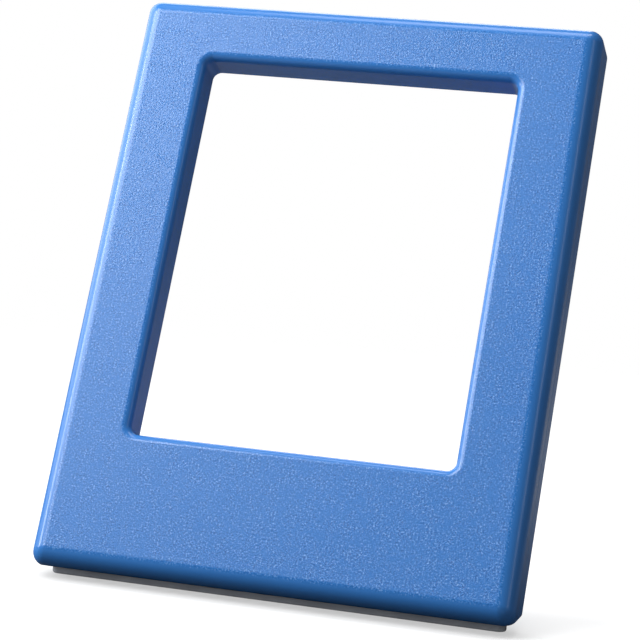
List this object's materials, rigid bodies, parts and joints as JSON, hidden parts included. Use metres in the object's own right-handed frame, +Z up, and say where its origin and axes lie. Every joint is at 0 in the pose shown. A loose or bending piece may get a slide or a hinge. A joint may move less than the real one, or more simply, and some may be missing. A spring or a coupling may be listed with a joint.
{
  "type": "magnetic photo frame",
  "caption": "Open photo frame with a deep lower border, in two halves held by corner magnets, leaning on a swing-out wing.",
  "frame": {"origin": "on the floor under the middle of the frame's bounding box as it stands", "axes": "+X to the right across the frame, +Y from the face to the back along the floor, +Z up; the frame leans back by 24 degrees"},
  "size_m": [0.088, 0.0532, 0.1042],
  "materials": {
    "blue_front": "fine spark texture",
    "blue_rear": "satin",
    "blue_wing": "satin",
    "strip_rubber": "matt",
    "pad_rubber": "matt",
    "pin_steel": "bright",
    "magnet_nickel": "nickel plated"
  },
  "bodies": {
    "rear_half": {"rear_frame": "blue_rear", "base_strip": "strip_rubber", "hinge_pin": "pin_steel", "rear_magnet_top_left": "magnet_nickel", "rear_magnet_top_right": "magnet_nickel", "rear_magnet_bottom_left": "magnet_nickel", "rear_magnet_bottom_right": "magnet_nickel"},
    "front_half": {"front_shell": "blue_front", "front_magnet_top_left": "magnet_nickel", "front_magnet_top_right": "magnet_nickel", "front_magnet_bottom_left": "magnet_nickel", "front_magnet_bottom_right": "magnet_nickel"},
    "wing": {"stand_wing": "blue_wing", "wing_pad": "pad_rubber"}
  },
  "joints": [
    {"name": "front_lift_off", "type": "slide", "parent": "rear_half", "child": "front_half", "axis": [0, -0.9135, 0.4067], "range_m": [0, 0.03]},
    {"name": "wing_hinge", "type": "hinge", "parent": "rear_half", "child": "wing", "pos_m": [0, -0.01426, 0.01162], "axis": [0, 0.4067, 0.9135], "range_deg": [-90, 0]}
  ]
}
